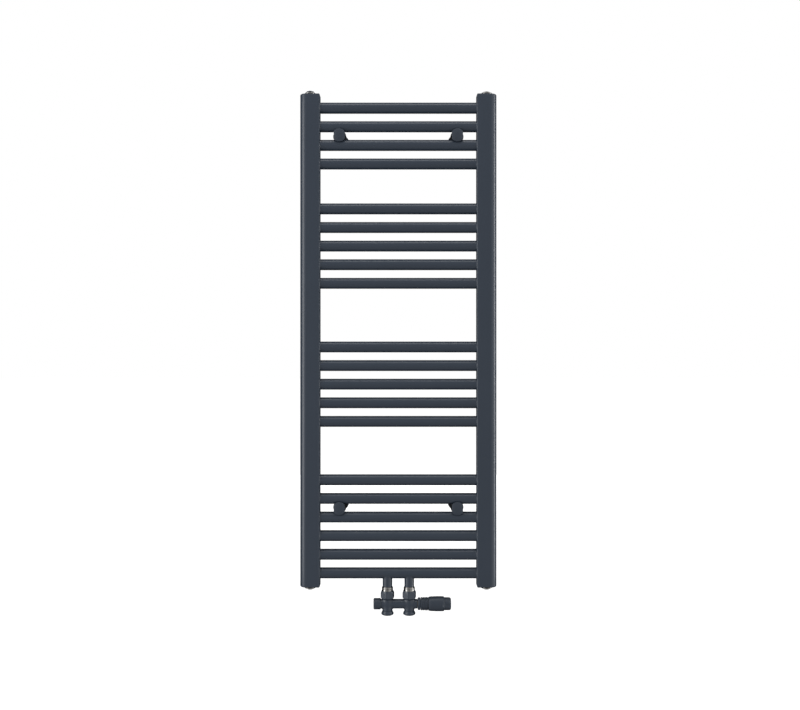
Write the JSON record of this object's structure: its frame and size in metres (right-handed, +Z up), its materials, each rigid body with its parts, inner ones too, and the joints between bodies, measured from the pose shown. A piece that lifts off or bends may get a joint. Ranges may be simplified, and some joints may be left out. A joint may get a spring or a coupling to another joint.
{
  "type": "ladder towel radiator with centre valve",
  "caption": "Wall-hung ladder towel radiator in anthracite: round tubes between two collectors, clamp brackets, and a centre H-block valve with a thermostatic head.",
  "frame": {"origin": "middle of the four wall fixing holes, on the wall plane", "axes": "+X to the right seen from the room, +Y into the wall, +Z up"},
  "size_m": [0.45, 0.092, 1.2016],
  "materials": {
    "anthracite_paint": "satin powder coat",
    "anthracite_plastic": "satin moulded or painted",
    "nickel_plate": "nickel plated",
    "brass": "turned",
    "zinc_steel": "zinc plated",
    "seal_rubber": "matte"
  },
  "bodies": {
    "wall_mounts": {"wall_sleeves": "anthracite_plastic", "wall_rosettes": "anthracite_plastic", "depth_grub_screws": "zinc_steel"},
    "radiator": {"left_collector": "anthracite_paint", "right_collector": "anthracite_paint", "collector_end_plates": "anthracite_paint", "tube_01": "anthracite_paint", "tube_02": "anthracite_paint", "tube_03": "anthracite_paint", "tube_04": "anthracite_paint", "tube_05": "anthracite_paint", "tube_06": "anthracite_paint", "tube_07": "anthracite_paint", "tube_08": "anthracite_paint", "tube_09": "anthracite_paint", "tube_10": "anthracite_paint", "tube_11": "anthracite_paint", "tube_12": "anthracite_paint", "tube_13": "anthracite_paint", "tube_14": "anthracite_paint", "tube_15": "anthracite_paint", "tube_16": "anthracite_paint", "tube_17": "anthracite_paint", "tube_18": "anthracite_paint", "tube_19": "anthracite_paint", "tube_20": "anthracite_paint", "pipe_sockets": "anthracite_paint", "flow_divider": "zinc_steel", "blind_plugs": "nickel_plate", "plug_seals": "seal_rubber", "air_vent_body": "nickel_plate", "bracket_studs": "zinc_steel", "rear_saddles": "anthracite_plastic", "front_clamp_caps": "anthracite_plastic", "clamp_screws": "zinc_steel", "valve_body": "anthracite_paint", "union_adapters": "nickel_plate", "union_nuts": "anthracite_paint", "union_seals": "seal_rubber", "pipe_clamping_nuts": "anthracite_paint", "olives": "brass", "valve_insert": "brass", "head_coupling_ring": "anthracite_paint", "head_base": "anthracite_plastic"},
    "grip": {"head_grip": "anthracite_plastic", "head_tip_disc": "anthracite_plastic"},
    "plunger": {"valve_stem": "zinc_steel", "valve_disc": "seal_rubber", "sensor_capsule": "zinc_steel"},
    "lockshield": {"lockshield_spindle": "brass"},
    "shield_cap": {"lockshield_cap": "anthracite_plastic"},
    "vent_nozzle": {"air_vent_nozzle": "anthracite_plastic"},
    "vent_screw": {"air_vent_screw": "nickel_plate"}
  },
  "joints": [
    {"name": "wall_distance_slide", "type": "slide", "parent": "wall_mounts", "child": "radiator", "axis": [0, 1, 0], "range_m": [-0.01, 0.01]},
    {"name": "thermostat_turn", "type": "hinge", "parent": "radiator", "child": "grip", "pos_m": [0.09, -0.075, -0.6466], "axis": [1, 0, 0], "range_deg": [-150, 150]},
    {"name": "valve_stroke", "type": "slide", "parent": "radiator", "child": "plunger", "axis": [1, 0, 0], "range_m": [-0.001, 0.001]},
    {"name": "lockshield_turn", "type": "hinge", "parent": "radiator", "child": "lockshield", "pos_m": [-0.04, -0.075, -0.6466], "axis": [-1, 0, 0], "range_deg": [0, 1080]},
    {"name": "shield_cap_turn", "type": "hinge", "parent": "radiator", "child": "shield_cap", "pos_m": [-0.05, -0.075, -0.6466], "axis": [-1, 0, 0], "continuous": true},
    {"name": "vent_nozzle_turn", "type": "hinge", "parent": "radiator", "child": "vent_nozzle", "pos_m": [-0.20225, -0.075, 0.5263], "axis": [0, 0, 1], "continuous": true},
    {"name": "vent_screw_turn", "type": "hinge", "parent": "radiator", "child": "vent_screw", "pos_m": [-0.20225, -0.075, 0.5263], "axis": [0, 0, 1], "range_deg": [0, 360]}
  ],
  "couplings": [
    {"joint": "valve_stroke", "follows": "thermostat_turn", "m_per_rad": 0.00038}
  ]
}
